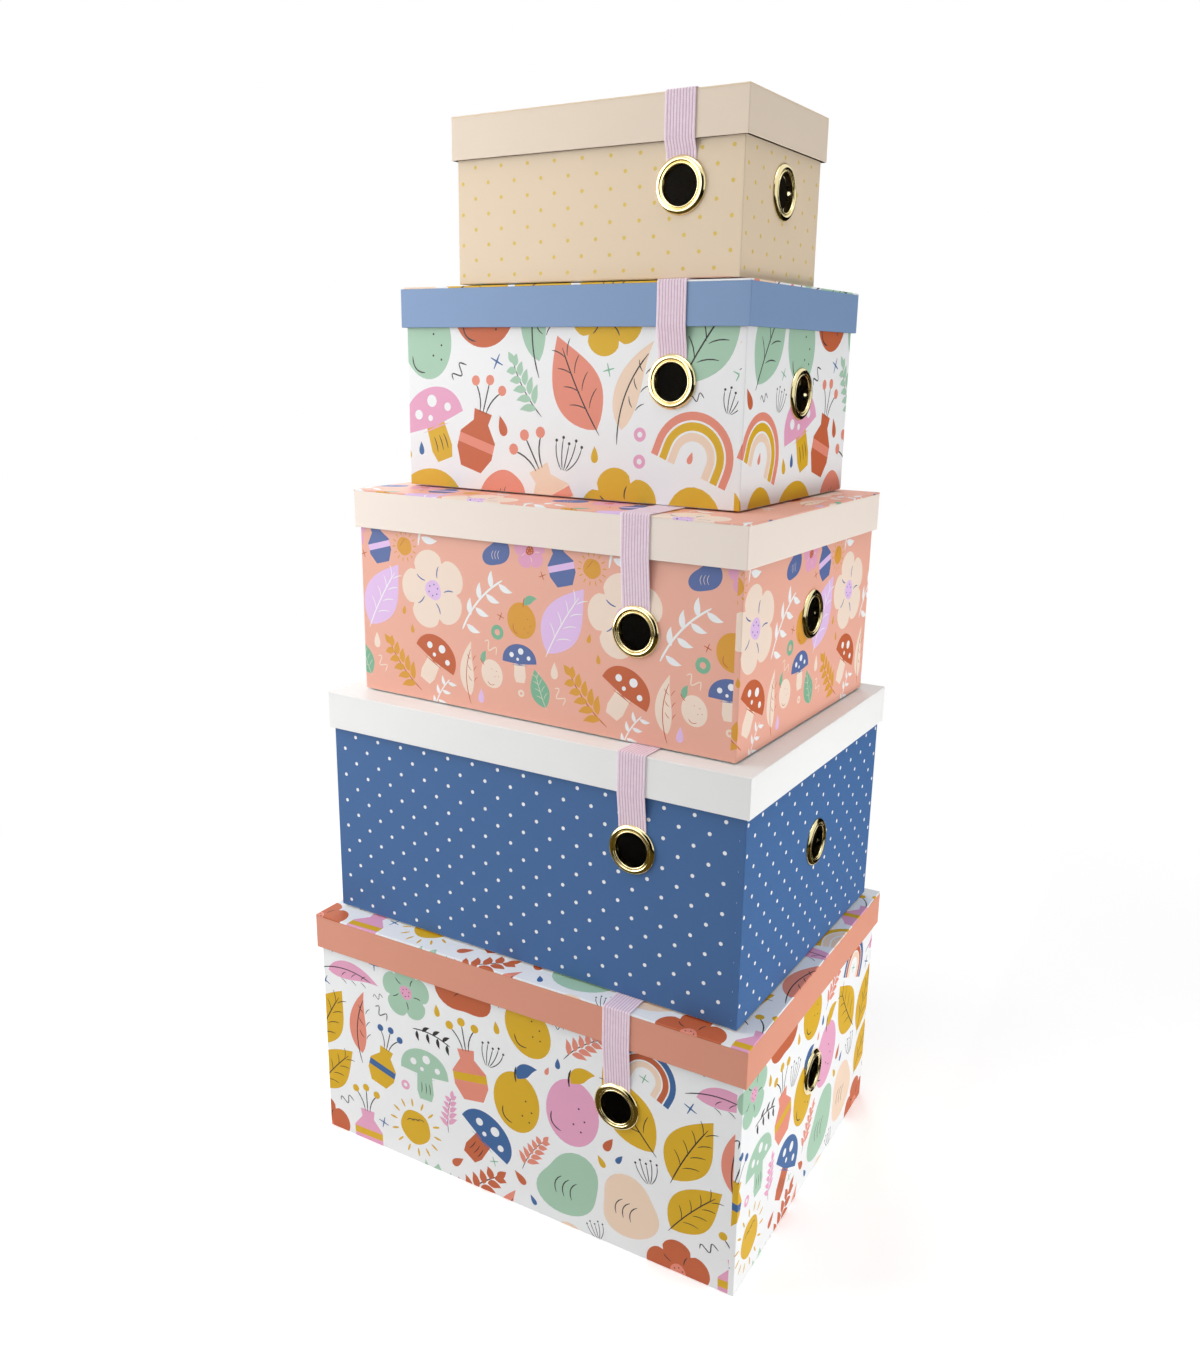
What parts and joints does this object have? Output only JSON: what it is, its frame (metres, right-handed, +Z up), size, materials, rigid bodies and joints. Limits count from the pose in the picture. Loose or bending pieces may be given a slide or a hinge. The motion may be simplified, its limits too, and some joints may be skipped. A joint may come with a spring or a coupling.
{
  "type": "nesting storage box set",
  "caption": "Stack of paper-covered board storage boxes in graded sizes, each with a lift-off lid, an elastic strap and brass eyelets.",
  "frame": {"origin": "middle of the set's footprint, on the surface that the largest box stands on", "axes": "+Z up, +X along the boxes' length towards the end with the straps, -Y towards the front"},
  "size_m": [0.375, 0.286, 0.7913],
  "materials": {
    "board": "matt grey board",
    "base_paper": "matt",
    "tape": "matt kraft",
    "brass": "polished",
    "elastic": "ribbed elastic",
    "tray_paper_1": "peach with small yellow dots",
    "lid_paper_1": "pale peach",
    "top_paper_1": "pale peach",
    "tray_paper_2": "white with a coloured print",
    "lid_paper_2": "dusty blue",
    "top_paper_2": "white with a coloured print",
    "tray_paper_3": "salmon pink with a coloured print",
    "lid_paper_3": "cream",
    "top_paper_3": "salmon pink with a coloured print",
    "tray_paper_4": "denim blue with white dots",
    "lid_paper_4": "white",
    "top_paper_4": "white",
    "tray_paper_5": "white with a coloured print",
    "lid_paper_5": "coral",
    "top_paper_5": "white with a coloured print"
  },
  "bodies": {
    "tray_5": {"box5_tray_board": "board", "box5_tray_wrap": "tray_paper_5", "box5_base_sheet": "base_paper", "box5_tray_corner_tapes": "tape", "box5_strap": "elastic", "box5_eyelets": "brass"},
    "lid_5": {"box5_lid_board": "board", "box5_lid_wrap": "lid_paper_5", "box5_lid_top_sheet": "top_paper_5", "box5_lid_corner_tapes": "tape"},
    "tray_4": {"box4_tray_board": "board", "box4_tray_wrap": "tray_paper_4", "box4_base_sheet": "base_paper", "box4_tray_corner_tapes": "tape", "box4_strap": "elastic", "box4_eyelets": "brass"},
    "lid_4": {"box4_lid_board": "board", "box4_lid_wrap": "lid_paper_4", "box4_lid_top_sheet": "top_paper_4", "box4_lid_corner_tapes": "tape"},
    "tray_3": {"box3_tray_board": "board", "box3_tray_wrap": "tray_paper_3", "box3_base_sheet": "base_paper", "box3_tray_corner_tapes": "tape", "box3_strap": "elastic", "box3_eyelets": "brass"},
    "lid_3": {"box3_lid_board": "board", "box3_lid_wrap": "lid_paper_3", "box3_lid_top_sheet": "top_paper_3", "box3_lid_corner_tapes": "tape"},
    "tray_2": {"box2_tray_board": "board", "box2_tray_wrap": "tray_paper_2", "box2_base_sheet": "base_paper", "box2_tray_corner_tapes": "tape", "box2_strap": "elastic", "box2_eyelets": "brass"},
    "lid_2": {"box2_lid_board": "board", "box2_lid_wrap": "lid_paper_2", "box2_lid_top_sheet": "top_paper_2", "box2_lid_corner_tapes": "tape"},
    "tray_1": {"box1_tray_board": "board", "box1_tray_wrap": "tray_paper_1", "box1_base_sheet": "base_paper", "box1_tray_corner_tapes": "tape", "box1_strap": "elastic", "box1_eyelets": "brass"},
    "lid_1": {"box1_lid_board": "board", "box1_lid_wrap": "lid_paper_1", "box1_lid_top_sheet": "top_paper_1", "box1_lid_corner_tapes": "tape"}
  },
  "joints": [
    {"name": "lid_5_lift", "type": "slide", "parent": "tray_5", "child": "lid_5", "axis": [0, 0, 1], "range_m": [0, 0.04], "deforming": ["box5_strap"]},
    {"name": "box_4_lift", "type": "slide", "parent": "lid_5", "child": "tray_4", "axis": [0, 0, 1], "range_m": [0, 0.06]},
    {"name": "lid_4_lift", "type": "slide", "parent": "tray_4", "child": "lid_4", "axis": [0, 0, 1], "range_m": [0, 0.04], "deforming": ["box4_strap"]},
    {"name": "box_3_lift", "type": "slide", "parent": "lid_4", "child": "tray_3", "axis": [0, 0, 1], "range_m": [0, 0.06]},
    {"name": "lid_3_lift", "type": "slide", "parent": "tray_3", "child": "lid_3", "axis": [0, 0, 1], "range_m": [0, 0.04], "deforming": ["box3_strap"]},
    {"name": "box_2_lift", "type": "slide", "parent": "lid_3", "child": "tray_2", "axis": [0, 0, 1], "range_m": [0, 0.06]},
    {"name": "lid_2_lift", "type": "slide", "parent": "tray_2", "child": "lid_2", "axis": [0, 0, 1], "range_m": [0, 0.04], "deforming": ["box2_strap"]},
    {"name": "box_1_lift", "type": "slide", "parent": "lid_2", "child": "tray_1", "axis": [0, 0, 1], "range_m": [0, 0.06]},
    {"name": "lid_1_lift", "type": "slide", "parent": "tray_1", "child": "lid_1", "axis": [0, 0, 1], "range_m": [0, 0.04], "deforming": ["box1_strap"]}
  ]
}
